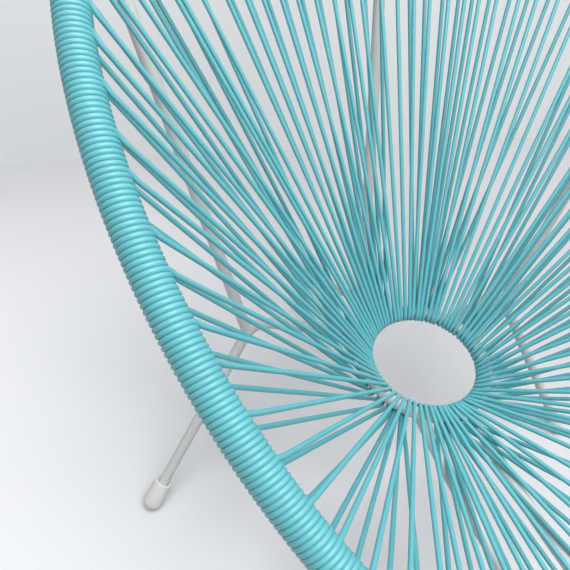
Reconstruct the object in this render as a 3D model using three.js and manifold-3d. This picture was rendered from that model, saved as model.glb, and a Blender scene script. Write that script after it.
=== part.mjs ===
import * as THREE from "three";
import { mergeVertices } from "three/addons/utils/BufferGeometryUtils.js";
import Module from "manifold-3d";

// Acapulco lounge chair: a tilted egg-shaped seat rim of steel tube and a small
// centre ring, joined by plastic cords, on a welded three-legged rod frame.
// Millimetres, +Z up, the chair faces -Y, the origin is on the floor under its centre.

const wasm = await Module();
wasm.setup();

// Seat rim
const rimHalfWidth = 336.5;
const rimHalfLength = 481;
const rimEggShare = 0.21;
const rimTilt = THREE.MathUtils.degToRad(31.6);
const rimCentreHeight = 601;
const rimTubeRadius = 10;

// Centre ring
const ringRadius = 73.4;
const ringTubeRadius = 7;
const ringForward = 33;
const ringHeight = 287;
const ringTilt = THREE.MathUtils.degToRad(3.7);

// Rods of the leg frame
const rodRadius = 7;
const seatGap = 0.3;

// Front legs: foot, corner and inner arm
const footHalfWidth = 328.1;
const footForward = 12;
const cornerHalfWidth = 180;
const cornerBack = 87;
const cornerHeight = 253;
const cornerBend = 26;
const armAzimuth = THREE.MathUtils.degToRad(45);

// Rear leg and back post
const rearFootBack = 389.2;
const postFootBack = 146;

// Side stays, from the front legs up to the rim
const stayRimAngle = THREE.MathUtils.degToRad(63.6);
const stayFootShare = 0.945;

// Front stays, from the ring forward to the rim
const frontStayHalfWidth = 30;
const frontStayFlatLength = 90;
const frontStayReach = 100;
const frontStayDip = 50;

// Foot caps
const capBallRadius = 14;
const capSoleDrop = 12.5;
const capMouthRadius = 12;
const capEdgeRadius = 1.2;
const capLength = 33;
const capBoreDepth = 28;

// Cords
const cordDiameter = 5;
const cordWindClearance = 1.1;
const rimRibPitch = 38;
const loopPitch = 58;
const ringLoopPitch = 6.2;
const ringRibsPerRun = 2;
const backRunCount = 3;
const sideRunCount = 4;
const grooveDepthShare = 0.24;
const upperPlaceShare = 0.42;
const strandLiftShare = 0.6;
const strandInsetShare = 0.8;

// Fineness of the meshes
const rimSteps = 96;
const ringSteps = 36;
const tubeSides = 10;
const rodSides = 12;
const frontLegSteps = 36;
const frontStaySteps = 14;
const capSides = 20;
const capBallSteps = 7;
const sleeveSides = 6;
const strandSides = 3;
const measuringSteps = 32;
const cornersPerFace = 3;

// Finishes
const whitePaint = new THREE.MeshStandardMaterial({ color: 0xeceae6, roughness: 0.45, metalness: 0.1 });
const whitePlastic = new THREE.MeshStandardMaterial({ color: 0xe9e9e7, roughness: 0.55, metalness: 0 });
const turquoiseCord = new THREE.MeshStandardMaterial({ color: 0x55b3bf, roughness: 0.35, metalness: 0 });

// Boolean work on closed meshes
function toSolid(geometry) {
  const bare = geometry.clone();
  bare.deleteAttribute("normal");
  bare.deleteAttribute("uv");
  const merged = mergeVertices(bare);
  const mesh = new wasm.Mesh({
    numProp: 3,
    vertProperties: new Float32Array(merged.attributes.position.array),
    triVerts: new Uint32Array(merged.index.array),
  });
  return new wasm.Manifold(mesh);
}

function toGeometry(solid) {
  const mesh = solid.getMesh();
  const geometry = new THREE.BufferGeometry();
  geometry.setAttribute("position", new THREE.BufferAttribute(mesh.vertProperties, 3));
  geometry.setIndex(new THREE.BufferAttribute(mesh.triVerts, 1));
  geometry.computeVertexNormals();
  return geometry;
}

// The seat rim's centreline, an egg in a tilted plane: angle 0 is the top of the back
function rimPoint(angle) {
  const across = rimHalfWidth * Math.sin(angle) * (1 + rimEggShare * Math.cos(angle));
  const along = rimHalfLength * Math.cos(angle);
  return new THREE.Vector3(
    across,
    along * Math.cos(rimTilt),
    rimCentreHeight + along * Math.sin(rimTilt),
  );
}

const rimNormal = new THREE.Vector3(0, -Math.sin(rimTilt), Math.cos(rimTilt));

function rimTangent(angle) {
  const across = rimHalfWidth * (Math.cos(angle) + rimEggShare * Math.cos(2 * angle));
  const along = -rimHalfLength * Math.sin(angle);
  return new THREE.Vector3(across, along * Math.cos(rimTilt), along * Math.sin(rimTilt));
}

// The centre ring's centreline: azimuth 0 points to +X, a quarter turn to the back
function ringPoint(azimuth) {
  const back = ringRadius * Math.sin(azimuth);
  return new THREE.Vector3(
    ringRadius * Math.cos(azimuth),
    back * Math.cos(ringTilt) - ringForward,
    ringHeight + back * Math.sin(ringTilt),
  );
}

const ringNormal = new THREE.Vector3(0, -Math.sin(ringTilt), Math.cos(ringTilt));

function ringTangent(azimuth) {
  const back = ringRadius * Math.cos(azimuth);
  return new THREE.Vector3(
    -ringRadius * Math.sin(azimuth),
    back * Math.cos(ringTilt),
    back * Math.sin(ringTilt),
  );
}

class RimCurve extends THREE.Curve {
  getPoint(share, target = new THREE.Vector3()) {
    return target.copy(rimPoint(2 * Math.PI * share));
  }

  // Equal angles, so that the steps are short where the egg bends most
  getUtoTmapping(share) {
    return share;
  }
}

function rimTube(radius) {
  return new THREE.TubeGeometry(new RimCurve(), rimSteps, radius, tubeSides, true);
}

function ringTube(radius) {
  const torus = new THREE.TorusGeometry(ringRadius, radius, tubeSides, ringSteps);
  torus.rotateX(ringTilt);
  torus.translate(0, -ringForward, ringHeight);
  return torus;
}

// Round rods: straight between two points, or bent along a curve
function straightRod(from, to, radius) {
  const length = from.distanceTo(to);
  const rod = new THREE.CylinderGeometry(radius, radius, length, rodSides);
  const axis = to.clone().sub(from).normalize();
  rod.applyQuaternion(new THREE.Quaternion().setFromUnitVectors(new THREE.Vector3(0, 1, 0), axis));
  const middle = from.clone().lerp(to, 1 / 2);
  rod.translate(middle.x, middle.y, middle.z);
  return rod;
}

function curvedRod(curve, radius, steps) {
  const section = new THREE.Shape();
  for (let side = 0; side < rodSides; side += 1) {
    const turn = (2 * Math.PI * side) / rodSides;
    const x = radius * Math.cos(turn);
    const y = radius * Math.sin(turn);
    if (side === 0) {
      section.moveTo(x, y);
    } else {
      section.lineTo(x, y);
    }
  }
  return new THREE.ExtrudeGeometry(section, { steps, extrudePath: curve, bevelEnabled: false });
}

function mirrored(point, side) {
  return new THREE.Vector3(side * point.x, point.y, point.z);
}

// Front leg: from the foot up to the corner, then inward to the ring's underside
const footPoint = new THREE.Vector3(footHalfWidth, -footForward, capSoleDrop);
const cornerPoint = new THREE.Vector3(cornerHalfWidth, cornerBack, cornerHeight);
const armEnd = ringPoint(armAzimuth).addScaledVector(ringNormal, -rodRadius);
const legDirection = cornerPoint.clone().sub(footPoint).normalize();

function frontLegCurve(side) {
  const armDirection = armEnd.clone().sub(cornerPoint).normalize();
  const bendStart = cornerPoint.clone().addScaledVector(legDirection, -cornerBend);
  const bendEnd = cornerPoint.clone().addScaledVector(armDirection, cornerBend);
  const legFoot = footPoint.clone().addScaledVector(legDirection, capLength - capBoreDepth + seatGap);
  const path = new THREE.CurvePath();
  path.add(new THREE.LineCurve3(mirrored(legFoot, side), mirrored(bendStart, side)));
  path.add(new THREE.QuadraticBezierCurve3(
    mirrored(bendStart, side),
    mirrored(cornerPoint, side),
    mirrored(bendEnd, side),
  ));
  path.add(new THREE.LineCurve3(mirrored(bendEnd, side), mirrored(armEnd, side)));
  return path;
}

function frontLeg(side, radius) {
  return curvedRod(frontLegCurve(side), radius, frontLegSteps);
}

// Rear leg: straight from the back of the ring down to the rear foot
const rearFootPoint = new THREE.Vector3(0, rearFootBack, capSoleDrop);
const rearLegTop = ringPoint(Math.PI / 2).addScaledVector(ringNormal, -rodRadius);
const rearLegDirection = rearLegTop.clone().sub(rearFootPoint).normalize();

function rearLeg(radius) {
  const start = rearFootPoint.clone();
  start.addScaledVector(rearLegDirection, capLength - capBoreDepth + seatGap);
  return straightRod(start, rearLegTop, radius);
}

// Back post: from the top of the rim down to the rear leg
function backPost(radius) {
  const share = (rearFootBack - postFootBack) / (rearFootBack - rearLegTop.y);
  return straightRod(rimPoint(0), rearFootPoint.clone().lerp(rearLegTop, share), radius);
}

// Side stay: from the front leg, just below its corner, up to the rim
function sideStay(side, radius) {
  const foot = footPoint.clone().lerp(cornerPoint, stayFootShare);
  const top = rimPoint(stayRimAngle);
  const start = foot.clone().addScaledVector(top.clone().sub(foot).normalize(), rodRadius / 2);
  return straightRod(mirrored(start, side), mirrored(top, side), radius);
}

// Front stay: flat under the ring's front, then rising to the rim
const frontStayRimAngle = Math.PI - Math.asin(frontStayHalfWidth / (rimHalfWidth * (1 - rimEggShare)));
const frontStayAzimuth = -Math.acos(frontStayHalfWidth / ringRadius);

function frontStay(side, radius) {
  const start = ringPoint(frontStayAzimuth).addScaledVector(ringNormal, -rodRadius);
  const end = rimPoint(frontStayRimAngle);
  const flatEnd = start.clone().add(new THREE.Vector3(0, -frontStayFlatLength, 0));
  const nearEnd = end.clone().add(new THREE.Vector3(0, frontStayReach, -frontStayDip));
  const points = [start, flatEnd, nearEnd, end].map((point) => mirrored(point, side));
  return curvedRod(new THREE.CubicBezierCurve3(...points), radius, frontStaySteps);
}

// Foot cap: a tapered round-bottomed sleeve on the rod's end, cut flat where it stands
function footCap(direction) {
  const profile = [];
  for (let step = 0; step <= capBallSteps; step += 1) {
    const turn = (Math.PI / 2) * (step / capBallSteps - 1);
    profile.push(new THREE.Vector2(capBallRadius * Math.cos(turn), capBallRadius * Math.sin(turn)));
  }
  profile[0].x = 0;
  profile.push(new THREE.Vector2(capMouthRadius, capLength - capEdgeRadius));
  profile.push(new THREE.Vector2(capMouthRadius - capEdgeRadius, capLength));
  profile.push(new THREE.Vector2(rodRadius + seatGap, capLength));
  profile.push(new THREE.Vector2(rodRadius + seatGap, capLength - capBoreDepth));
  profile.push(new THREE.Vector2(0, capLength - capBoreDepth));
  const cap = new THREE.LatheGeometry(profile, capSides);
  cap.applyQuaternion(new THREE.Quaternion().setFromUnitVectors(new THREE.Vector3(0, 1, 0), direction));
  const below = new THREE.BoxGeometry(4 * capBallRadius, 4 * capBallRadius, 2 * capBallRadius);
  below.translate(0, 0, -capSoleDrop - capBallRadius);
  return toGeometry(toSolid(cap).subtract(toSolid(below)));
}

// A solid through a row of equal rings of points, closed on itself or capped at its ends
function ringedSolid(rings, closed) {
  const count = rings[0].length;
  const index = [];
  const spans = closed ? rings.length : rings.length - 1;
  for (let row = 0; row < spans; row += 1) {
    const next = (row + 1) % rings.length;
    for (let side = 0; side < count; side += 1) {
      const after = (side + 1) % count;
      const a = row * count + side;
      const b = row * count + after;
      const c = next * count + after;
      const d = next * count + side;
      index.push(a, b, c, a, c, d);
    }
  }
  if (!closed) {
    const last = (rings.length - 1) * count;
    for (let side = 1; side < count - 1; side += 1) {
      index.push(0, side + 1, side);
      index.push(last, last + side, last + side + 1);
    }
  }
  const geometry = new THREE.BufferGeometry();
  geometry.setFromPoints(rings.flat());
  geometry.setIndex(index);
  return geometry;
}

// Wound cord on a stretch of tube: a ribbed sleeve with a bore
function woundSleeve(pointAt, tangentAt, normal, from, to, tubeRadius, ribs) {
  const inRadius = tubeRadius + cordWindClearance;
  const boreRadius = inRadius / Math.cos(Math.PI / sleeveSides);
  const crestRadius = tubeRadius + cordDiameter;
  const valleyRadius = crestRadius - cordDiameter * grooveDepthShare;
  const outline = [];
  for (let rib = 0; rib < ribs; rib += 1) {
    outline.push([rib / ribs, valleyRadius]);
    outline.push([(rib + 1 / 2) / ribs, crestRadius]);
  }
  outline.push([1, valleyRadius]);
  for (let rib = ribs; rib >= 0; rib -= 1) {
    outline.push([rib / ribs, boreRadius]);
  }
  const rings = [];
  for (let side = 0; side < sleeveSides; side += 1) {
    const turn = (2 * Math.PI * side) / sleeveSides;
    rings.push(outline.map(([share, radius]) => {
      const angle = from + (to - from) * share;
      const outward = tangentAt(angle).cross(normal).normalize();
      return pointAt(angle)
        .addScaledVector(outward, radius * Math.cos(turn))
        .addScaledVector(normal, radius * Math.sin(turn));
    }));
  }
  return ringedSolid(rings, true);
}

// One stretched cord between the rim and the ring, over them or under them
function strand(rimAngle, azimuth, side) {
  const rimAxis = rimPoint(rimAngle);
  const ringAxis = ringPoint(azimuth);
  const direction = ringAxis.clone().sub(rimAxis).normalize();
  const liftAtRim = rimTangent(rimAngle).cross(direction).normalize();
  liftAtRim.multiplyScalar(side * Math.sign(liftAtRim.dot(rimNormal)));
  const liftAtRing = ringTangent(azimuth).cross(direction).normalize();
  liftAtRing.multiplyScalar(side * Math.sign(liftAtRing.dot(rimNormal)));
  const half = cordDiameter / 2;
  const rimReach = rimTubeRadius + half + seatGap;
  const ringReach = ringTubeRadius + half + seatGap;
  const inwardAtRim = direction.clone().projectOnPlane(rimTangent(rimAngle)).normalize();
  const inwardAtRing = direction.clone().projectOnPlane(ringTangent(azimuth)).normalize();
  const start = rimAxis.addScaledVector(liftAtRim, rimReach * strandLiftShare);
  start.addScaledVector(inwardAtRim, rimReach * strandInsetShare);
  const end = ringAxis.addScaledVector(liftAtRing, ringReach * strandLiftShare);
  end.addScaledVector(inwardAtRing, -ringReach * strandInsetShare);
  const flat = new THREE.Vector3().crossVectors(direction, liftAtRim).normalize();
  const rings = [[start, liftAtRim], [end, liftAtRing]].map(([centre, lift]) => {
    const corners = [];
    for (let corner = 0; corner < strandSides; corner += 1) {
      const turn = (2 * Math.PI * corner) / strandSides;
      const point = centre.clone().addScaledVector(lift, half * Math.cos(turn));
      corners.push(point.addScaledVector(flat, half * Math.sin(turn)));
    }
    return corners;
  });
  return ringedSolid(rings, false);
}

// The rods that stand in the cords' way, with clearance round them
const rodsWithGap = [
  rearLeg(rodRadius + seatGap),
  backPost(rodRadius + seatGap),
  ...[-1, 1].flatMap((side) => [
    frontLeg(side, rodRadius + seatGap),
    sideStay(side, rodRadius + seatGap),
    frontStay(side, rodRadius + seatGap),
  ]),
].map(positive);

// Turns a closed mesh's faces outward, if they point in
function positive(geometry) {
  const solid = toSolid(geometry);
  if (solid.volume() >= 0) {
    return solid;
  }
  const flipped = geometry.clone();
  if (!flipped.index) {
    flipped.setIndex([...Array(flipped.attributes.position.count).keys()]);
  }
  const index = flipped.index.array;
  for (let corner = 0; corner < index.length; corner += cornersPerFace) {
    [index[corner + 1], index[corner + 2]] = [index[corner + 2], index[corner + 1]];
  }
  return toSolid(flipped);
}

// Length of the rim between two angles
function rimLength(from, to) {
  let length = 0;
  for (let step = 0; step < measuringSteps; step += 1) {
    const here = rimPoint(THREE.MathUtils.lerp(from, to, step / measuringSteps));
    const there = rimPoint(THREE.MathUtils.lerp(from, to, (step + 1) / measuringSteps));
    length += here.distanceTo(there);
  }
  return length;
}

// A cord run: a stretch of the rim's winding, its cords and its turns on the ring
function cordRun(rimFrom, rimTo, ringFrom, ringTo) {
  const length = rimLength(rimFrom, rimTo);
  const ribs = Math.max(2, Math.round(length / rimRibPitch));
  const ringLength = ringRadius * Math.abs(ringTo - ringFrom);
  const loopsAtRing = Math.floor(ringLength / ringLoopPitch);
  const loops = Math.max(1, Math.min(Math.round(length / loopPitch), loopsAtRing));
  let run = positive(woundSleeve(rimPoint, rimTangent, rimNormal, rimFrom, rimTo, rimTubeRadius, ribs));
  run = run.add(positive(
    woundSleeve(ringPoint, ringTangent, ringNormal, ringFrom, ringTo, ringTubeRadius, ringRibsPerRun),
  ));
  for (let loop = 0; loop < loops; loop += 1) {
    const upperShare = (loop + upperPlaceShare) / loops;
    const lowerShare = (loop + 1 - upperPlaceShare) / loops;
    run = run.add(positive(strand(
      THREE.MathUtils.lerp(rimFrom, rimTo, upperShare),
      THREE.MathUtils.lerp(ringFrom, ringTo, upperShare),
      1,
    )));
    run = run.add(positive(strand(
      THREE.MathUtils.lerp(rimFrom, rimTo, lowerShare),
      THREE.MathUtils.lerp(ringFrom, ringTo, lowerShare),
      -1,
    )));
  }
  for (const rod of rodsWithGap) {
    run = run.subtract(rod);
  }
  return toGeometry(run);
}

const chair = new THREE.Group();

function addPiece(name, geometry, material, place) {
  const mesh = new THREE.Mesh(geometry, material);
  mesh.name = name;
  if (place) {
    mesh.position.copy(place);
  }
  chair.add(mesh);
}

// A rod whose ends are cut to fit the pieces that it is welded to
function fitted(rod, neighbours) {
  let solid = positive(rod);
  for (const neighbour of neighbours) {
    solid = solid.subtract(positive(neighbour));
  }
  return toGeometry(solid);
}

const rimWithGap = rimTube(rimTubeRadius + seatGap);
const ringWithGap = ringTube(ringTubeRadius + seatGap);

addPiece("seat_rim_tube", rimTube(rimTubeRadius), whitePaint);
addPiece("centre_ring_tube", ringTube(ringTubeRadius), whitePaint);
addPiece("rear_leg", fitted(rearLeg(rodRadius), [ringWithGap]), whitePaint);
addPiece("back_post", fitted(backPost(rodRadius), [rimWithGap, rearLeg(rodRadius + seatGap)]), whitePaint);
addPiece("foot_cap_rear", footCap(rearLegDirection), whitePlastic, rearFootPoint);

const sides = [["left", -1], ["right", 1]];
for (const [sideName, side] of sides) {
  const legWithGap = frontLeg(side, rodRadius + seatGap);
  addPiece(`front_leg_${sideName}`, fitted(frontLeg(side, rodRadius), [ringWithGap]), whitePaint);
  addPiece(`side_stay_${sideName}`, fitted(sideStay(side, rodRadius), [rimWithGap, legWithGap]), whitePaint);
  addPiece(`front_stay_${sideName}`, fitted(frontStay(side, rodRadius), [rimWithGap, ringWithGap]), whitePaint);
  addPiece(
    `foot_cap_front_${sideName}`,
    footCap(mirrored(legDirection, side)),
    whitePlastic,
    mirrored(footPoint, side),
  );
}

// The runs between two neighbouring rods share the rim and the ring there evenly
function addRuns(name, rimFrom, rimTo, ringFrom, ringTo, count) {
  const rimGap = (rodRadius + cordDiameter / 2) / rimHalfLength;
  const ringGap = (rodRadius + cordDiameter / 2) / ringRadius;
  const rimStart = rimFrom + rimGap * Math.sign(rimTo - rimFrom);
  const rimEnd = rimTo - rimGap * Math.sign(rimTo - rimFrom);
  const ringStart = ringFrom + ringGap * Math.sign(ringTo - ringFrom);
  const ringEnd = ringTo - ringGap * Math.sign(ringTo - ringFrom);
  for (let run = 0; run < count; run += 1) {
    const rimSeam = (seatGap / rimHalfLength) * Math.sign(rimTo - rimFrom);
    const ringSeam = (seatGap / ringRadius) * Math.sign(ringTo - ringFrom);
    addPiece(
      `cord_run_${name}_${run + 1}`,
      cordRun(
        THREE.MathUtils.lerp(rimStart, rimEnd, run / count),
        THREE.MathUtils.lerp(rimStart, rimEnd, (run + 1) / count) - rimSeam,
        THREE.MathUtils.lerp(ringStart, ringEnd, run / count),
        THREE.MathUtils.lerp(ringStart, ringEnd, (run + 1) / count) - ringSeam,
      ),
      turquoiseCord,
    );
  }
}

const ringBack = Math.PI / 2;
const ringLeftArm = Math.PI - armAzimuth;
const ringLeftFront = Math.PI - frontStayAzimuth;
addRuns("back_right", 0, stayRimAngle, ringBack, armAzimuth, backRunCount);
addRuns("back_left", 0, -stayRimAngle, ringBack, ringLeftArm, backRunCount);
addRuns("side_right", stayRimAngle, frontStayRimAngle, armAzimuth, frontStayAzimuth, sideRunCount);
addRuns("side_left", -stayRimAngle, -frontStayRimAngle, ringLeftArm, ringLeftFront, sideRunCount);
addRuns("front", frontStayRimAngle, 2 * Math.PI - frontStayRimAngle, frontStayAzimuth, -Math.PI - frontStayAzimuth, 1);

export default chair;
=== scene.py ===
import math
import random

import bmesh
import bpy
from bpy.props import FloatProperty, FloatVectorProperty, IntProperty, PointerProperty
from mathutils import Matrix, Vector


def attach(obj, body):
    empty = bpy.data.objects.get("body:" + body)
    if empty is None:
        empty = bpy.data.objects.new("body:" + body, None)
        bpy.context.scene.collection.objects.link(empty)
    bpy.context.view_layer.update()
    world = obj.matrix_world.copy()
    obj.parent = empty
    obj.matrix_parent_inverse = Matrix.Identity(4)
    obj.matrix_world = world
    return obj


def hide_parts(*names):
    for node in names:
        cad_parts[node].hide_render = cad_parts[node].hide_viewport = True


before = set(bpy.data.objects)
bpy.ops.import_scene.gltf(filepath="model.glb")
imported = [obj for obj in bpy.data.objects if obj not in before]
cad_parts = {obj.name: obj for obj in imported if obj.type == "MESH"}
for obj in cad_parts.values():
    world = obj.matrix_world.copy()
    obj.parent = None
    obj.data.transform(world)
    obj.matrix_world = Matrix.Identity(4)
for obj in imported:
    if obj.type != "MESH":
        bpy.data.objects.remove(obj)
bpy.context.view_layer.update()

bl_info = {
    "name": "Acapulco chair",
    "version": (1, 0, 0),
    "blender": (4, 5, 0),
    "location": "View3D > Sidebar > Chair",
    "description": "Winds the cords of an acapulco chair round its welded frame and lights it",
    "category": "Object",
}

# Seat rim and centre ring, in metres as all lengths are
RIM_HALF_WIDTH = 0.3365
RIM_HALF_LENGTH = 0.481
RIM_EGG_SHARE = 0.21
RIM_TILT = math.radians(31.6)
RIM_CENTRE_HEIGHT = 0.601
RIM_TUBE_RADIUS = 0.010
RING_RADIUS = 0.0734
RING_TUBE_RADIUS = 0.007
RING_FORWARD = 0.033
RING_HEIGHT = 0.287
RING_TILT = math.radians(3.7)

# Rods of the leg frame
ROD_RADIUS = 0.007
FOOT_HALF_WIDTH = 0.3281
FOOT_FORWARD = 0.012
SOLE_DROP = 0.0125
CORNER = Vector((0.180, 0.087, 0.253))
CORNER_BEND = 0.026
ARM_AZIMUTH = math.radians(45)
REAR_FOOT_BACK = 0.3892
POST_FOOT_BACK = 0.146
STAY_RIM_ANGLE = math.radians(63.6)
STAY_FOOT_SHARE = 0.945
FRONT_STAY_HALF_WIDTH = 0.030
FRONT_STAY_FLAT_LENGTH = 0.090
FRONT_STAY_REACH = 0.100
FRONT_STAY_DIP = 0.050

# Foot caps
CAP_BALL_RADIUS = 0.014
CAP_MOUTH_RADIUS = 0.012
CAP_EDGE_RADIUS = 0.0022
CAP_LENGTH = 0.033
CAP_BORE_DEPTH = 0.028
CAP_BALL_STEPS = 10
CAP_EDGE_STEPS = 6
CAP_SIDES = 40
MERGE_DISTANCE = 0.00001

# Where the cord runs of the frame meet
BACK_RUN_COUNT = 3
SIDE_RUN_COUNT = 4

# Winding on the rim
ROD_CLEARANCE = 0.0002
PITCH_SHARE = 0.91
STRETCHED_SHARE = 0.92
SIDE_SPACING_SHARE = 0.07
LOOP_OFFSET = 0.40
TURNS_BY_CHANCE = (-1, 0, 0, 1)
LEAVING_BEND = 0.018
LEAVING_REACH_SHARE = 0.45

# Turns on the ring
OVER_JITTER_SHARE = 0.2
UNDER_JITTER_SHARES = (0.2, 0.8)
ASIDE_START_SHARE = 0.6
BESIDE_ROD_SHARE = 1.6
RING_KNEE_SHARE = 0.355
RING_KNEE_ANGLE = math.radians(68)

# Loops drawn together at the front right
GATHER_ANGLE = math.radians(6)
GATHER_START_SHARE = -0.14
GATHER_FULL_SHARE = 0.20
GATHER_END_SHARE = 0.60

# Steps along curves and sides of tubes
STEPS_PER_TURN = 20
HALF_TURN_STEPS = 12
LEAVING_STEPS = 7
RIM_SCALE_STEPS = 1440
RIM_STEPS = 192
RING_STEPS = 96
CORNER_STEPS = 10
STAY_STEPS = 24
CORD_SMOOTH_SIDES = 3
STEEL_SMOOTH_SIDES = 6

BUMP_DISTANCE = 0.0003

RIM_NORMAL = Vector((0, -math.sin(RIM_TILT), math.cos(RIM_TILT)))
RING_NORMAL = Vector((0, -math.sin(RING_TILT), math.cos(RING_TILT)))
FULL_TURN = 2 * math.pi


class CordSettings(bpy.types.PropertyGroup):
    """Sizes and colour of the wound cord"""
    diameter: FloatProperty(name="Diameter", description="Cord thickness on the rim", default=0.005,
                            unit="LENGTH")
    loops: IntProperty(name="Loops", description="Cord loops between rim and ring", default=74, min=12)
    seed: IntProperty(name="Seed", description="Number that the chance placing starts from", default=7)
    colour: FloatVectorProperty(name="Colour", description="Cord plastic", subtype="COLOR",
                                size=3, default=(0.118, 0.485, 0.540))


class FrameSettings(bpy.types.PropertyGroup):
    """Colours of the welded frame and its foot caps"""
    paint: FloatVectorProperty(name="Paint", description="Powder coat of the rods", subtype="COLOR",
                               size=3, default=(0.76, 0.76, 0.75))
    cap: FloatVectorProperty(name="Foot caps", description="Plastic of the foot caps", subtype="COLOR",
                             size=3, default=(0.90, 0.90, 0.89))


class StageSettings(bpy.types.PropertyGroup):
    """Floor, wall and lamp"""
    floor: FloatVectorProperty(name="Floor", description="Floor colour", subtype="COLOR",
                               size=3, default=(0.855, 0.860, 0.890))
    wall: FloatVectorProperty(name="Wall", description="Wall colour", subtype="COLOR",
                              size=3, default=(0.85, 0.87, 0.88))
    lamp: FloatProperty(name="Lamp", description="Power of the large lamp", default=108.0, unit="POWER")


def rim_point(angle):
    """Centreline of the rim: angle 0 is the top of the back."""
    along = RIM_HALF_LENGTH * math.cos(angle)
    across = RIM_HALF_WIDTH * math.sin(angle) * (1 + RIM_EGG_SHARE * math.cos(angle))
    height = RIM_CENTRE_HEIGHT + along * math.sin(RIM_TILT)
    return Vector((across, along * math.cos(RIM_TILT), height))


def rim_tangent(angle):
    """Direction of the rim's centreline."""
    across = RIM_HALF_WIDTH * (math.cos(angle) + RIM_EGG_SHARE * math.cos(2 * angle))
    along = -RIM_HALF_LENGTH * math.sin(angle)
    return Vector((across, along * math.cos(RIM_TILT), along * math.sin(RIM_TILT))).normalized()


def ring_point(azimuth):
    """Centreline of the centre ring: azimuth 0 points to +X."""
    back = RING_RADIUS * math.sin(azimuth)
    height = RING_HEIGHT + back * math.sin(RING_TILT)
    return Vector((RING_RADIUS * math.cos(azimuth), back * math.cos(RING_TILT) - RING_FORWARD, height))


def ring_tangent(azimuth):
    """Direction of the ring's centreline."""
    back = math.cos(azimuth)
    return Vector((-math.sin(azimuth), back * math.cos(RING_TILT), back * math.sin(RING_TILT)))


def mirrored(point, side):
    """A point on the left (-1) or right (1) half."""
    return Vector((side * point.x, point.y, point.z))


def under_ring(azimuth):
    """Where the centreline of a rod ends against the ring's underside."""
    return ring_point(azimuth) - RING_NORMAL * ROD_RADIUS


RIM_FRONT_HALF_WIDTH = RIM_HALF_WIDTH * (1 - RIM_EGG_SHARE)
FRONT_STAY_RIM_ANGLE = math.pi - math.asin(FRONT_STAY_HALF_WIDTH / RIM_FRONT_HALF_WIDTH)
FRONT_STAY_AZIMUTH = -math.acos(FRONT_STAY_HALF_WIDTH / RING_RADIUS)
FRONT_FOOT = Vector((FOOT_HALF_WIDTH, -FOOT_FORWARD, SOLE_DROP))
FRONT_LEG_WAY = (CORNER - FRONT_FOOT).normalized()
REAR_FOOT = Vector((0, REAR_FOOT_BACK, SOLE_DROP))
REAR_LEG_TOP = under_ring(math.pi / 2)
REAR_LEG_WAY = (REAR_LEG_TOP - REAR_FOOT).normalized()


class RimScale:
    """Lengths along the rim, from the top of the back round by the right side."""

    def __init__(self):
        self.step = FULL_TURN / RIM_SCALE_STEPS
        self.lengths = [0]
        here = rim_point(0)
        for index in range(RIM_SCALE_STEPS):
            there = rim_point((index + 1) * self.step)
            self.lengths.append(self.lengths[-1] + (there - here).length)
            here = there
        self.total = self.lengths[-1]

    def length_at(self, angle):
        place = angle / self.step
        low = min(int(place), len(self.lengths) - 2)
        part = place - low
        return self.lengths[low] * (1 - part) + self.lengths[low + 1] * part

    def angle_at(self, length):
        turns, rest = divmod(length, self.total)
        low, high = 0, len(self.lengths) - 1
        while high - low > 1:
            middle = (low + high) // 2
            if self.lengths[middle] <= rest:
                low = middle
            else:
                high = middle
        part = (rest - self.lengths[low]) / (self.lengths[high] - self.lengths[low])
        return (low + part) * self.step + turns * FULL_TURN


RIM_SCALE = RimScale()


def tube_mesh(name, splines, radius, smooth_sides):
    """A mesh of round tubes along rows of points; a point's fourth number is its share of the radius."""
    curve = bpy.data.curves.new(name, "CURVE")
    curve.dimensions = "3D"
    curve.bevel_depth = radius
    curve.bevel_resolution = smooth_sides
    curve.use_fill_caps = True
    for points, cyclic in splines:
        spline = curve.splines.new("POLY")
        spline.points.add(len(points) - 1)
        for slot, point in zip(spline.points, points):
            slot.co = (*point[:3], 1)
            slot.radius = point[3] if len(point) > 3 else 1
        spline.use_cyclic_u = cyclic
        spline.use_smooth = True
    maker = bpy.data.objects.new(name, curve)
    bpy.context.scene.collection.objects.link(maker)
    depsgraph = bpy.context.evaluated_depsgraph_get()
    mesh = bpy.data.meshes.new_from_object(maker.evaluated_get(depsgraph))
    bpy.data.objects.remove(maker)
    mesh.name = name
    return mesh


def add_piece(name, mesh, material, nodes):
    """Puts a finished mesh in the scene, in place of CAD nodes where it has any."""
    mesh.materials.clear()
    mesh.materials.append(material)
    piece = bpy.data.objects.new(name, mesh)
    bpy.context.scene.collection.objects.link(piece)
    for polygon in mesh.polygons:
        polygon.use_smooth = True
    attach(piece, "root")
    if nodes:
        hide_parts(*nodes)
    return piece


def bend_points(before, corner, after, reach, steps):
    """A round bend between two straight stretches."""
    start = corner + (before - corner).normalized() * reach
    end = corner + (after - corner).normalized() * reach
    points = []
    for step in range(steps + 1):
        share = step / steps
        points.append(start.lerp(corner, share).lerp(corner.lerp(end, share), share))
    return points


def cubic_points(start, first, second, end, steps):
    """A smooth curve from start to end that leans towards the two points between."""
    points = []
    for step in range(steps + 1):
        share = step / steps
        rest = 1 - share
        points.append(rest ** 3 * start + 3 * rest ** 2 * share * first
                      + 3 * rest * share ** 2 * second + share ** 3 * end)
    return points


# Materials
def new_material(name):
    """An empty node material with its shader."""
    material = bpy.data.materials.new(name)
    material.use_nodes = True
    nodes = material.node_tree.nodes
    nodes.clear()
    output = nodes.new("ShaderNodeOutputMaterial")
    shader = nodes.new("ShaderNodeBsdfPrincipled")
    material.node_tree.links.new(shader.outputs["BSDF"], output.inputs["Surface"])
    return material, material.node_tree, shader


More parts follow.
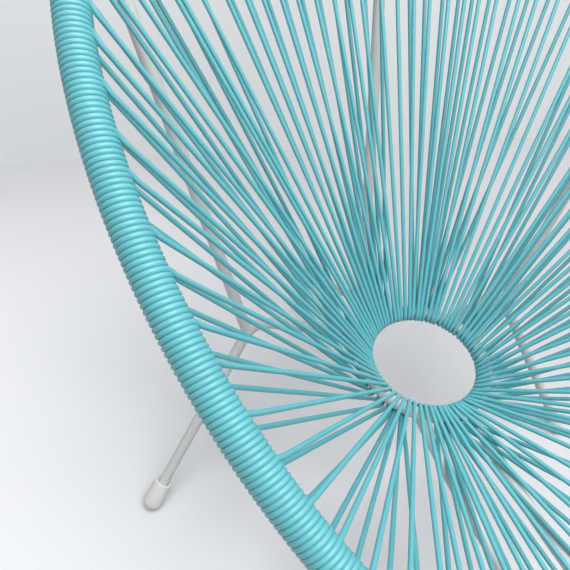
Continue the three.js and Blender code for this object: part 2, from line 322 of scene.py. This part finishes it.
def surface_group():
    """Fine unevenness: a colour that drifts between two, a roughness and a height."""
    group = bpy.data.node_groups.new("surface_unevenness", "ShaderNodeTree")
    face = group.interface
    for label, kind in (
        ("Light", "NodeSocketColor"),
        ("Dark", "NodeSocketColor"),
        ("Patch Scale", "NodeSocketFloat"),
        ("Grain Scale", "NodeSocketFloat"),
        ("Roughness", "NodeSocketFloat"),
        ("Roughness Range", "NodeSocketFloat"),
    ):
        face.new_socket(name=label, in_out="INPUT", socket_type=kind)
    face.new_socket(name="Color", in_out="OUTPUT", socket_type="NodeSocketColor")
    face.new_socket(name="Roughness", in_out="OUTPUT", socket_type="NodeSocketFloat")
    face.new_socket(name="Height", in_out="OUTPUT", socket_type="NodeSocketFloat")
    nodes, links = group.nodes, group.links
    inside = nodes.new("NodeGroupInput")
    outside = nodes.new("NodeGroupOutput")
    place = nodes.new("ShaderNodeTexCoord")
    patch = nodes.new("ShaderNodeTexNoise")
    grain = nodes.new("ShaderNodeTexNoise")
    grain.inputs["Detail"].default_value = 3
    mix = nodes.new("ShaderNodeMix")
    mix.data_type = "RGBA"
    spread = nodes.new("ShaderNodeMath")
    spread.operation = "MULTIPLY_ADD"
    links.new(place.outputs["Object"], patch.inputs["Vector"])
    links.new(place.outputs["Object"], grain.inputs["Vector"])
    links.new(inside.outputs["Patch Scale"], patch.inputs["Scale"])
    links.new(inside.outputs["Grain Scale"], grain.inputs["Scale"])
    links.new(patch.outputs["Fac"], mix.inputs["Factor"])
    links.new(inside.outputs["Light"], mix.inputs["A"])
    links.new(inside.outputs["Dark"], mix.inputs["B"])
    links.new(grain.outputs["Fac"], spread.inputs[0])
    links.new(inside.outputs["Roughness Range"], spread.inputs[1])
    links.new(inside.outputs["Roughness"], spread.inputs[2])
    links.new(mix.outputs["Result"], outside.inputs["Color"])
    links.new(spread.outputs["Value"], outside.inputs["Roughness"])
    links.new(grain.outputs["Fac"], outside.inputs["Height"])
    return group


def uneven_material(name, colour, dark_share, patch_scale, grain_scale, roughness, spread, bump):
    """A material whose colour, gloss and surface vary a little."""
    material, tree, shader = new_material(name)
    group = bpy.data.node_groups.get("surface_unevenness") or surface_group()
    surface = tree.nodes.new("ShaderNodeGroup")
    surface.node_tree = group
    surface.inputs["Light"].default_value = (*colour, 1)
    surface.inputs["Dark"].default_value = (*(channel * dark_share for channel in colour), 1)
    surface.inputs["Patch Scale"].default_value = patch_scale
    surface.inputs["Grain Scale"].default_value = grain_scale
    surface.inputs["Roughness"].default_value = roughness
    surface.inputs["Roughness Range"].default_value = spread
    relief = tree.nodes.new("ShaderNodeBump")
    relief.inputs["Strength"].default_value = bump
    relief.inputs["Distance"].default_value = BUMP_DISTANCE
    tree.links.new(surface.outputs["Color"], shader.inputs["Base Color"])
    tree.links.new(surface.outputs["Roughness"], shader.inputs["Roughness"])
    tree.links.new(surface.outputs["Height"], relief.inputs["Height"])
    tree.links.new(relief.outputs["Normal"], shader.inputs["Normal"])
    return material, shader


def cord_material():
    """Satin turquoise plastic."""
    colour = bpy.context.scene.chair_cord.colour
    material, shader = uneven_material(
        "turquoise_cord", colour, dark_share=0.86, patch_scale=40.0, grain_scale=900.0,
        roughness=0.42, spread=0.16, bump=0.12)
    shader.inputs["IOR"].default_value = 1.5
    shader.inputs["Specular IOR Level"].default_value = 0.8
    shader.inputs["Coat Weight"].default_value = 0.6
    shader.inputs["Coat Roughness"].default_value = 0.60
    return material


def paint_material():
    """White powder coat with a fine orange peel."""
    colour = bpy.context.scene.chair_frame.paint
    material, shader = uneven_material(
        "white_powder_coat", colour, dark_share=0.96, patch_scale=14.0, grain_scale=1500.0,
        roughness=0.36, spread=0.12, bump=0.22)
    shader.inputs["IOR"].default_value = 1.5
    return material


def cap_material():
    """White moulded plastic."""
    colour = bpy.context.scene.chair_frame.cap
    material, shader = uneven_material(
        "white_cap_plastic", colour, dark_share=0.93, patch_scale=60.0, grain_scale=1800.0,
        roughness=0.44, spread=0.16, bump=0.3)
    shader.inputs["IOR"].default_value = 1.46
    return material


# Cords
def inward_at(angle):
    """Direction from the rim's centreline to the inside of the seat, in the rim's plane."""
    return rim_tangent(angle).cross(RIM_NORMAL)


def outward_at(azimuth):
    """Direction from the ring's centreline away from its middle, in the ring's plane."""
    return ring_tangent(azimuth).cross(RING_NORMAL)


def smooth_step(share):
    """A rise from 0 to 1 that starts and ends level."""
    part = min(1.0, max(0.0, share))
    return part * part * (3 - 2 * part)


class Winding:
    """Where each turn lies on the rim: pressed evenly between the rods, with a wide step over each rod."""

    def __init__(self, diameter):
        self.skip = 2 * (ROD_RADIUS + ROD_CLEARANCE) + diameter
        pitch = diameter * PITCH_SHARE
        rods = [RIM_SCALE.length_at(angle) for angle in rod_angles_on_rim()] + [RIM_SCALE.total]
        self.stretches = []
        turn = 0
        for before, after in zip(rods, rods[1:]):
            free = after - before - self.skip
            turns = round(free / pitch)
            self.stretches.append((turn, before, free / turns, turns))
            turn += turns
        self.turns = turn

    def length_at(self, turn):
        """Length along the rim: whole turns pass beneath it, half turns over it."""
        rounds, rest = divmod(turn, self.turns)
        first, rod, pitch, _ = [stretch for stretch in self.stretches if stretch[0] <= rest][-1]
        step = self.skip * (smooth_step(2 * (rest - first)) - 1 / 2)
        return rod + step + (rest - first) * pitch + rounds * RIM_SCALE.total

    def angle_at(self, turn):
        return RIM_SCALE.angle_at(self.length_at(turn))

    def turn_at(self, length):
        """Whole turn that lies nearest to a length along the rim."""
        first, rod, pitch, turns = [stretch for stretch in self.stretches if stretch[1] <= length][-1]
        return first + min(turns, max(0, round((length - rod - self.skip / 2) / pitch)))


def rod_angles_on_rim():
    """Rim angles at which a rod is welded."""
    return (0.0, STAY_RIM_ANGLE, FRONT_STAY_RIM_ANGLE,
            FULL_TURN - FRONT_STAY_RIM_ANGLE, FULL_TURN - STAY_RIM_ANGLE)


def rod_azimuths():
    """Ring azimuths at which a rod is welded."""
    return (FRONT_STAY_AZIMUTH, ARM_AZIMUTH, math.pi / 2, math.pi - ARM_AZIMUTH,
            math.pi - FRONT_STAY_AZIMUTH)


def ring_azimuth(share):
    """Azimuth on the ring for a share of the half rim, from the front: packed closer at the back."""
    if share < RING_KNEE_SHARE:
        return RING_KNEE_ANGLE * share / RING_KNEE_SHARE
    rest = (share - RING_KNEE_SHARE) / (1 - RING_KNEE_SHARE)
    return RING_KNEE_ANGLE + (math.pi - RING_KNEE_ANGLE) * rest


def gathered(share):
    """How far the loops at the seat's front right are drawn together towards the front."""
    rise = (share - GATHER_START_SHARE) / (GATHER_FULL_SHARE - GATHER_START_SHARE)
    fall = (share - GATHER_FULL_SHARE) / (GATHER_END_SHARE - GATHER_FULL_SHARE)
    return GATHER_ANGLE * (smooth_step(rise) - smooth_step(fall))


def signed_azimuth(length):
    """Ring azimuth that belongs to a length along the rim, before the route is mirrored."""
    share = 1 - 2 * (length % RIM_SCALE.total) / RIM_SCALE.total
    return -math.pi / 2 + math.copysign(ring_azimuth(abs(share)), share) + gathered(-share)


def beside_rods(azimuth, margin):
    """An azimuth moved aside, so that a cord under the ring passes beside the rods."""
    for rod in rod_azimuths():
        offset = (azimuth - rod + math.pi) % FULL_TURN - math.pi
        if abs(offset) < 2 * margin:
            return azimuth - offset + math.copysign(margin + abs(offset) / 2, offset)
    return azimuth


class Loop:
    """One group of turns, the cord that leaves it over the rim and the one that comes back beneath."""

    def __init__(self, first, last, over, under, depth):
        self.first = first
        self.last = last
        self.over = over
        self.under = under
        self.depth = depth


def loop_share(index, count):
    """Share of the rim wound before a loop: loops lie further apart at the seat's sides."""
    share = index / count
    return share - SIDE_SPACING_SHARE * math.sin(2 * FULL_TURN * share) / (2 * FULL_TURN)


def cord_loops(winding, settings):
    """The loops round the seat, with a turn more or fewer by chance."""
    draw = random.Random(settings.seed)
    shares = [loop_share(index + 1 - LOOP_OFFSET, settings.loops) for index in range(settings.loops)]
    ends = [winding.turn_at(RIM_SCALE.total * share) for share in shares]
    for index in range(settings.loops - 1):
        ends[index] += draw.choice(TURNS_BY_CHANCE)
    margin = BESIDE_ROD_SHARE * (ROD_RADIUS + settings.diameter / 2 + ROD_CLEARANCE) / RING_RADIUS
    loops = []
    first = ends[-1] - winding.turns
    for index, last in enumerate(ends):
        slot = signed_azimuth(RIM_SCALE.total * loop_share(index + 1 / 2 - LOOP_OFFSET, settings.loops))
        jitter = settings.diameter / RING_RADIUS
        over = slot + draw.uniform(-OVER_JITTER_SHARE, OVER_JITTER_SHARE) * jitter
        under = slot - draw.uniform(*UNDER_JITTER_SHARES) * jitter
        depth = index % 2 * settings.diameter / 2
        loops.append(Loop(first, last, over, beside_rods(under, margin), depth))
        first = last
    return loops


def dip_at_rim(angle, azimuth):
    """How steeply a cord to the ring dips below the rim's plane."""
    direction = ring_point(azimuth) - rim_point(angle)
    return math.atan2(-direction.dot(RIM_NORMAL), direction.dot(inward_at(angle)))


def dip_at_ring(angle, azimuth):
    """How steeply a cord from the rim comes down to the ring's plane."""
    direction = rim_point(angle) - ring_point(azimuth)
    return math.atan2(direction.dot(RING_NORMAL), direction.dot(outward_at(azimuth)))


def eased(start, start_way, end, end_way):
    """The bend beside the rim from one point and direction to another, without its first point."""
    reach = LEAVING_BEND * LEAVING_REACH_SHARE
    return cubic_points(start, start + start_way * reach, end - end_way * reach, end, LEAVING_STEPS)[1:]


def turn_points(winding, loop, before, radius):
    """The turns of a loop: from beneath the rim, outward and over, to where the cord leaves on top."""
    start = -math.pi / 2 - dip_at_rim(winding.angle_at(loop.first), before.under)
    leave = loop.last - 1 / 2
    wound = FULL_TURN * (loop.last - loop.first)
    finish = math.pi / 2 - dip_at_rim(winding.angle_at(leave), loop.over) - wound
    steps = round(STEPS_PER_TURN * (leave - loop.first))
    points = []
    for step in range(steps + 1):
        share = step / steps
        turn = start + (finish - start) * share
        angle = winding.angle_at(loop.first + (leave - loop.first) * share)
        spoke = math.cos(turn) * inward_at(angle) + math.sin(turn) * RIM_NORMAL
        points.append((*(rim_point(angle) + radius * spoke), 1))
    return points


def with_thickness(points, first, last):
    """The points with a thickness that passes from one share to another."""
    rise = [smooth_step(index / (len(points) - 1)) for index in range(len(points))]
    return [(*point, first + (last - first) * share) for point, share in zip(points, rise)]


def over_points(winding, loop, radius, ring_radius):
    """The cord from the top of the rim to the top of the ring, and its half turn inside the ring."""
    leave = winding.angle_at(loop.last - 1 / 2)
    dip = dip_at_rim(leave, loop.over)
    side = inward_at(leave)
    start = rim_point(leave) + radius * (math.sin(dip) * side + math.cos(dip) * RIM_NORMAL)
    start_way = math.cos(dip) * side - math.sin(dip) * RIM_NORMAL
    touch = math.pi / 2 + dip_at_ring(leave, loop.over)
    half_turn = []
    for step in range(HALF_TURN_STEPS + 1):
        share = step / HALF_TURN_STEPS
        aside = smooth_step((share - ASIDE_START_SHARE) / (1 - ASIDE_START_SHARE))
        azimuth = loop.over + (loop.under - loop.over) * aside
        reach = ring_radius + loop.depth * aside
        turn = touch + math.pi * share
        point = math.cos(turn) * outward_at(azimuth) + math.sin(turn) * RING_NORMAL
        half_turn.append(ring_point(azimuth) + reach * point)
    way = (half_turn[0] - start).normalized()
    strand = eased(start, start_way, start + way * LEAVING_BEND, way)
    middle = len(half_turn) // 2
    points = with_thickness(strand, 1, STRETCHED_SHARE)
    points.append((*strand[-1].lerp(half_turn[0], 1 / 2), STRETCHED_SHARE))
    points += with_thickness(half_turn[:middle], STRETCHED_SHARE, 1)
    return points + with_thickness(half_turn[middle:], 1, STRETCHED_SHARE)


def under_points(winding, loop, start, radius):
    """The cord from beneath the ring to beneath the rim, where the next loop starts."""
    start = Vector(start[:3])
    arrive = winding.angle_at(loop.last)
    dip = dip_at_rim(arrive, loop.under)
    side = inward_at(arrive)
    end = rim_point(arrive) - radius * (math.sin(dip) * side + math.cos(dip) * RIM_NORMAL)
    end_way = math.sin(dip) * RIM_NORMAL - math.cos(dip) * side
    way = (end - start).normalized()
    bend = end - way * LEAVING_BEND
    strand = [(*start.lerp(bend, 1 / 2), STRETCHED_SHARE)]
    return strand + with_thickness([bend, *eased(bend, way, end, end_way)], STRETCHED_SHARE, 1)


def wound_by_the_left(points):
    """A route worked out by the right side, mirrored so that the cord runs round by the left side."""
    return [(-x, y, z, thickness) for x, y, z, thickness in points]


def run_nodes():
    """The CAD cord runs with the rim angles between which each lies."""
    runs = []
    stretches = (
        ("back_right", 0.0, STAY_RIM_ANGLE, BACK_RUN_COUNT),
        ("side_right", STAY_RIM_ANGLE, FRONT_STAY_RIM_ANGLE, SIDE_RUN_COUNT),
        ("front", FRONT_STAY_RIM_ANGLE, FULL_TURN - FRONT_STAY_RIM_ANGLE, 1),
    )
    for name, start, end, count in stretches:
        for run in range(count):
            low = start + (end - start) * run / count
            high = start + (end - start) * (run + 1) / count
            runs.append((f"cord_run_{name}_{run + 1}", low, high))
            if name != "front":
                left = name.replace("right", "left")
                runs.append((f"cord_run_{left}_{run + 1}", FULL_TURN - high, FULL_TURN - low))
    return runs


class CHAIR_OT_wind_cords(bpy.types.Operator):
    """Winds the cord on the rim and stretches its loops to the centre ring"""
    bl_idname = "chair.wind_cords"
    bl_label = "Wind the cords"

    def execute(self, context):
        settings = context.scene.chair_cord
        material = cord_material()
        winding = Winding(settings.diameter)
        radius = RIM_TUBE_RADIUS + settings.diameter / 2
        ring_radius = RING_TUBE_RADIUS + settings.diameter / 2
        loops = cord_loops(winding, settings)
        routes = []
        for index, loop in enumerate(loops):
            points = turn_points(winding, loop, loops[index - 1], radius)
            points += over_points(winding, loop, radius, ring_radius)
            points += under_points(winding, loop, points[-1], radius)
            middle = (FULL_TURN - winding.angle_at((loop.first + loop.last) / 2)) % FULL_TURN
            routes.append((middle, wound_by_the_left(points)))
        for node, low, high in run_nodes():
            rows = [(points, False) for middle, points in routes if low <= middle < high]
            name = node.replace("cord_run", "cords")
            mesh = tube_mesh(name, rows, settings.diameter / 2, CORD_SMOOTH_SIDES)
            add_piece(name, mesh, material, [node])
        return {"FINISHED"}


# Frame
def front_leg_points(side):
    """Foot, bent corner and arm of a front leg."""
    arm_end = under_ring(ARM_AZIMUTH)
    foot_end = FRONT_FOOT + FRONT_LEG_WAY * (CAP_LENGTH - CAP_BORE_DEPTH)
    points = [foot_end, *bend_points(FRONT_FOOT, CORNER, arm_end, CORNER_BEND, CORNER_STEPS), arm_end]
    return [mirrored(point, side) for point in points]


def side_stay_points(side):
    """Ends of a side stay, on the front leg and on the rim."""
    start = FRONT_FOOT.lerp(CORNER, STAY_FOOT_SHARE)
    return [mirrored(start, side), mirrored(rim_point(STAY_RIM_ANGLE), side)]


def front_stay_points(side):
    """A front stay: flat under the ring, then rising to the rim."""
    start = under_ring(FRONT_STAY_AZIMUTH)
    end = rim_point(FRONT_STAY_RIM_ANGLE)
    flat = start + Vector((0, -FRONT_STAY_FLAT_LENGTH, 0))
    near = end + Vector((0, FRONT_STAY_REACH, -FRONT_STAY_DIP))
    return [mirrored(point, side) for point in cubic_points(start, flat, near, end, STAY_STEPS)]


def rear_leg_points():
    """Ends of the rear leg."""
    return [REAR_FOOT + REAR_LEG_WAY * (CAP_LENGTH - CAP_BORE_DEPTH), REAR_LEG_TOP]


def back_post_points():
    """Ends of the back post, on the rim and on the rear leg."""
    share = (REAR_FOOT_BACK - POST_FOOT_BACK) / (REAR_FOOT_BACK - REAR_LEG_TOP.y)
    return [rim_point(0), REAR_FOOT.lerp(REAR_LEG_TOP, share)]


class CHAIR_OT_weld_frame(bpy.types.Operator):
    """Makes the rim, the ring and the rods in white powder-coated steel"""
    bl_idname = "chair.weld_frame"
    bl_label = "Weld the frame"

    def execute(self, context):
        paint = paint_material()
        rim = [rim_point(FULL_TURN * step / RIM_STEPS) for step in range(RIM_STEPS)]
        ring = [ring_point(FULL_TURN * step / RING_STEPS) for step in range(RING_STEPS)]
        pieces = [
            ("seat_rim_tube", rim, True, RIM_TUBE_RADIUS),
            ("centre_ring_tube", ring, True, RING_TUBE_RADIUS),
            ("rear_leg", rear_leg_points(), False, ROD_RADIUS),
            ("back_post", back_post_points(), False, ROD_RADIUS),
        ]
        for word, side in (("left", -1), ("right", 1)):
            pieces.append((f"front_leg_{word}", front_leg_points(side), False, ROD_RADIUS))
            pieces.append((f"side_stay_{word}", side_stay_points(side), False, ROD_RADIUS))
            pieces.append((f"front_stay_{word}", front_stay_points(side), False, ROD_RADIUS))
        for name, points, cyclic, radius in pieces:
            mesh = tube_mesh(f"{name}_steel", [(points, cyclic)], radius, STEEL_SMOOTH_SIDES)
            add_piece(f"{name}_steel", mesh, paint, [name])
        return {"FINISHED"}


# Foot caps
def cap_profile():
    """Half outline of a foot cap along its rod: a ball, tapering up to a rounded mouth."""
    profile = []
    for step in range(CAP_BALL_STEPS + 1):
        turn = math.pi / 2 * (step / CAP_BALL_STEPS - 1)
        profile.append((CAP_BALL_RADIUS * math.cos(turn), CAP_BALL_RADIUS * math.sin(turn)))
    profile[0] = (0, -CAP_BALL_RADIUS)
    middle = CAP_MOUTH_RADIUS - CAP_EDGE_RADIUS
    for step in range(CAP_EDGE_STEPS + 1):
        turn = math.pi * step / CAP_EDGE_STEPS
        profile.append((middle + CAP_EDGE_RADIUS * math.cos(turn),
                        CAP_LENGTH - CAP_EDGE_RADIUS + CAP_EDGE_RADIUS * math.sin(turn)))
    profile.append((ROD_RADIUS, CAP_LENGTH - 2 * CAP_EDGE_RADIUS))
    return profile


def cap_mesh(name, foot, direction):
    """A foot cap, turned round its rod and cut flat on the floor."""
    shape = bmesh.new()
    rows = [shape.verts.new((radius, 0, height)) for radius, height in cap_profile()]
    for first, second in zip(rows, rows[1:]):
        shape.edges.new((first, second))
    bmesh.ops.spin(shape, geom=shape.verts[:] + shape.edges[:], cent=(0, 0, 0), axis=(0, 0, 1),
                   angle=FULL_TURN, steps=CAP_SIDES, use_merge=True)
    bmesh.ops.remove_doubles(shape, verts=shape.verts, dist=MERGE_DISTANCE)
    turn = Vector((0, 0, 1)).rotation_difference(direction).to_matrix()
    bmesh.ops.rotate(shape, verts=shape.verts, cent=(0, 0, 0), matrix=turn)
    bmesh.ops.translate(shape, verts=shape.verts, vec=foot)
    cut = bmesh.ops.bisect_plane(shape, geom=shape.verts[:] + shape.edges[:] + shape.faces[:],
                                 plane_co=(0, 0, 0), plane_no=(0, 0, -1), clear_outer=True)
    rim = [item for item in cut["geom_cut"] if isinstance(item, bmesh.types.BMEdge)]
    bmesh.ops.holes_fill(shape, edges=rim)
    bmesh.ops.recalc_face_normals(shape, faces=shape.faces)
    mesh = bpy.data.meshes.new(name)
    shape.to_mesh(mesh)
    shape.free()
    return mesh


class CHAIR_OT_fit_foot_caps(bpy.types.Operator):
    """Puts a plastic cap on each foot"""
    bl_idname = "chair.fit_foot_caps"
    bl_label = "Fit the foot caps"

    def execute(self, context):
        plastic = cap_material()
        feet = [
            ("foot_cap_front_left", mirrored(FRONT_FOOT, -1), mirrored(FRONT_LEG_WAY, -1)),
            ("foot_cap_front_right", FRONT_FOOT, FRONT_LEG_WAY),
            ("foot_cap_rear", REAR_FOOT, REAR_LEG_WAY),
        ]
        for name, place, way in feet:
            mesh = cap_mesh(f"{name}_plastic", place, way)
            add_piece(f"{name}_plastic", mesh, plastic, [name])
        return {"FINISHED"}


# Stage
CAMERA_PLACE = Vector((-0.31653, -0.40193, 0.83458))
CAMERA_TURN = math.radians(19.47)
CAMERA_DIP = math.radians(45.11)
CAMERA_ROLL = math.radians(7.87)
CAMERA_FOCAL_PIXELS = 598.79
IMAGE_PIXELS = 570
SENSOR_WIDTH = 36.0
STAGE_REACH = 6.0
WALL_BACK = 0.847
WALL_GLOW = 0.14
LAMP_PLACE = (0.3, -0.5, 3.2)
LAMP_TARGET = (0, 0, 0.3)
LAMP_SIZE = 2.6
WORLD_LIGHT = 0.46
WORLD_SHOWN = 0.70
BOUNCE_SHARE = 0.36
# Painted light falloff on the floor: its shown colour dims with distance from a centre near the chair,
# painted shade standing in for the lamp's pool of light.
PAINTED_FALLOFF_CENTRE = (-0.45, -0.15, 0)
PAINTED_FALLOFF_START = 0.50
PAINTED_FALLOFF_END = 1.1
FLOOR_PAINTED_FALLOFF_SHARE = 0.74


def colour_mix(tree, first, second):
    """A node that passes from one colour to another."""
    mix = tree.nodes.new("ShaderNodeMix")
    mix.data_type = "RGBA"
    mix.inputs["A"].default_value = (*first, 1)
    mix.inputs["B"].default_value = (*second, 1)
    return mix


def seen_directly(tree):
    """A socket that is 1 for what the camera, a reflection or a glass shows, and 0 for light alone."""
    path = tree.nodes.new("ShaderNodeLightPath")
    seen = path.outputs["Is Camera Ray"]
    for ray in ("Is Glossy Ray", "Is Transmission Ray"):
        either = tree.nodes.new("ShaderNodeMath")
        either.operation = "MAXIMUM"
        tree.links.new(seen, either.inputs[0])
        tree.links.new(path.outputs[ray], either.inputs[1])
        seen = either.outputs["Value"]
    return seen


def stage_material(name, colour, painted_falloff_share, glow):
    """A plain matt surface that lights the chair only a little and is open from behind; its shown colour
    dims far out, a painted light falloff that stands in for the lamp's pool of light.
    """
    material, tree, shader = new_material(name)
    seen = seen_directly(tree)
    # Painted light falloff: the shown colour darkens with distance from a centre near the chair.
    place = tree.nodes.new("ShaderNodeTexCoord")
    distance = tree.nodes.new("ShaderNodeVectorMath")
    distance.operation = "DISTANCE"
    distance.inputs[1].default_value = PAINTED_FALLOFF_CENTRE
    painted_falloff = tree.nodes.new("ShaderNodeMapRange")
    painted_falloff.interpolation_type = "SMOOTHSTEP"
    painted_falloff.inputs["From Min"].default_value = PAINTED_FALLOFF_START
    painted_falloff.inputs["From Max"].default_value = PAINTED_FALLOFF_END
    tree.links.new(place.outputs["Object"], distance.inputs[0])
    tree.links.new(distance.outputs["Value"], painted_falloff.inputs["Value"])
    shown = colour_mix(tree, colour, [channel * painted_falloff_share for channel in colour])
    tree.links.new(painted_falloff.outputs["Result"], shown.inputs["Factor"])
    mix = colour_mix(tree, [channel * BOUNCE_SHARE for channel in colour], colour)
    tree.links.new(shown.outputs["Result"], mix.inputs["B"])
    tree.links.new(seen, mix.inputs["Factor"])
    tree.links.new(mix.outputs["Result"], shader.inputs["Base Color"])
    strength = tree.nodes.new("ShaderNodeMath")
    strength.operation = "MULTIPLY"
    strength.inputs[1].default_value = glow
    tree.links.new(seen, strength.inputs[0])
    tree.links.new(strength.outputs["Value"], shader.inputs["Emission Strength"])
    shader.inputs["Emission Color"].default_value = (*colour, 1)
    shader.inputs["Roughness"].default_value = 0.9
    shader.inputs["Specular IOR Level"].default_value = 0.1
    side = tree.nodes.new("ShaderNodeNewGeometry")
    opening = tree.nodes.new("ShaderNodeBsdfTransparent")
    choice = tree.nodes.new("ShaderNodeMixShader")
    output = tree.nodes["Material Output"]
    tree.links.new(side.outputs["Backfacing"], choice.inputs["Fac"])
    tree.links.new(shader.outputs["BSDF"], choice.inputs[1])
    tree.links.new(opening.outputs["BSDF"], choice.inputs[2])
    tree.links.new(choice.outputs["Shader"], output.inputs["Surface"])
    return material


def stage_sheet(name, corners, colour, painted_falloff_share, glow):
    """A flat part of the stage."""
    shape = bmesh.new()
    shape.faces.new([shape.verts.new(corner) for corner in corners])
    mesh = bpy.data.meshes.new(name)
    shape.to_mesh(mesh)
    shape.free()
    mesh.materials.append(stage_material(name, colour, painted_falloff_share, glow))
    sheet = bpy.data.objects.new(name, mesh)
    bpy.context.scene.collection.objects.link(sheet)


def add_lamp(power):
    """A large soft lamp above the chair."""
    lamp = bpy.data.lights.new("large_lamp", "AREA")
    lamp.shape = "DISK"
    lamp.size = LAMP_SIZE
    lamp.energy = power
    holder = bpy.data.objects.new("large_lamp", lamp)
    holder.location = LAMP_PLACE
    way = Vector(LAMP_TARGET) - Vector(LAMP_PLACE)
    holder.rotation_euler = way.to_track_quat("-Z", "Y").to_euler()
    bpy.context.scene.collection.objects.link(holder)


def add_camera():
    """The photograph's camera."""
    lens = bpy.data.cameras.new("camera")
    lens.sensor_width = SENSOR_WIDTH
    lens.lens = SENSOR_WIDTH * CAMERA_FOCAL_PIXELS / IMAGE_PIXELS
    camera = bpy.data.objects.new("camera", lens)
    forward = Vector((
        math.sin(CAMERA_TURN) * math.cos(CAMERA_DIP),
        math.cos(CAMERA_TURN) * math.cos(CAMERA_DIP),
        -math.sin(CAMERA_DIP),
    ))
    level_right = Vector((math.cos(CAMERA_TURN), -math.sin(CAMERA_TURN), 0))
    level_up = level_right.cross(forward)
    right = level_right * math.cos(CAMERA_ROLL) + level_up * math.sin(CAMERA_ROLL)
    up = level_up * math.cos(CAMERA_ROLL) - level_right * math.sin(CAMERA_ROLL)
    turn = camera.matrix_world.to_3x3()
    turn.col[0], turn.col[1], turn.col[2] = right, up, -forward
    camera.matrix_world = turn.to_4x4()
    camera.location = CAMERA_PLACE
    bpy.context.scene.collection.objects.link(camera)
    bpy.context.scene.camera = camera


class CHAIR_OT_set_stage(bpy.types.Operator):
    """Lays the floor, stands the wall and sets the lamp and the camera"""
    bl_idname = "chair.set_stage"
    bl_label = "Set the stage"

    def execute(self, context):
        settings = context.scene.chair_stage
        reach = STAGE_REACH
        floor = [(-reach, -reach, 0), (reach, -reach, 0), (reach, reach, 0), (-reach, reach, 0)]
        wall = [(-reach, WALL_BACK, 0), (reach, WALL_BACK, 0), (reach, WALL_BACK, reach),
                (-reach, WALL_BACK, reach)]
        stage_sheet("floor", floor, settings.floor, FLOOR_PAINTED_FALLOFF_SHARE, 0)
        stage_sheet("wall", wall, settings.wall, 1, WALL_GLOW)
        add_lamp(settings.lamp)
        world = bpy.data.worlds.new("studio")
        world.use_nodes = True
        background = world.node_tree.nodes["Background"]
        shown = world.node_tree.nodes.new("ShaderNodeMapRange")
        shown.inputs["To Min"].default_value = WORLD_LIGHT
        shown.inputs["To Max"].default_value = WORLD_SHOWN
        world.node_tree.links.new(seen_directly(world.node_tree), shown.inputs["Value"])
        world.node_tree.links.new(shown.outputs["Result"], background.inputs["Strength"])
        background.inputs["Color"].default_value = (1, 1, 1, 1)
        context.scene.world = world
        context.scene.view_settings.view_transform = "Standard"
        add_camera()
        return {"FINISHED"}


class CHAIR_PT_panel(bpy.types.Panel):
    """Lists the chair's operators and sizes"""
    bl_idname = "CHAIR_PT_panel"
    bl_label = "Acapulco chair"
    bl_space_type = "VIEW_3D"
    bl_region_type = "UI"
    bl_category = "Chair"

    def draw(self, context):
        scene = context.scene
        for operator in OPERATORS:
            self.layout.operator(operator.bl_idname)
        for group in (scene.chair_cord, scene.chair_frame, scene.chair_stage):
            for name in group.bl_rna.properties.keys():
                if name not in {"rna_type", "name"}:
                    self.layout.prop(group, name)


OPERATORS = (CHAIR_OT_weld_frame, CHAIR_OT_wind_cords, CHAIR_OT_fit_foot_caps, CHAIR_OT_set_stage)
CLASSES = (CordSettings, FrameSettings, StageSettings, *OPERATORS, CHAIR_PT_panel)


def register():
    """Registers the classes and puts the settings on the scene."""
    for item in CLASSES:
        bpy.utils.register_class(item)
    bpy.types.Scene.chair_cord = PointerProperty(type=CordSettings)
    bpy.types.Scene.chair_frame = PointerProperty(type=FrameSettings)
    bpy.types.Scene.chair_stage = PointerProperty(type=StageSettings)


def unregister():
    """Takes the settings and the classes away again."""
    del bpy.types.Scene.chair_stage
    del bpy.types.Scene.chair_frame
    del bpy.types.Scene.chair_cord
    for item in reversed(CLASSES):
        bpy.utils.unregister_class(item)


def main():
    """Builds the chair and its stage."""
    register()
    bpy.ops.chair.weld_frame()
    bpy.ops.chair.wind_cords()
    bpy.ops.chair.fit_foot_caps()
    bpy.ops.chair.set_stage()


if __name__ == "__main__":
    main()
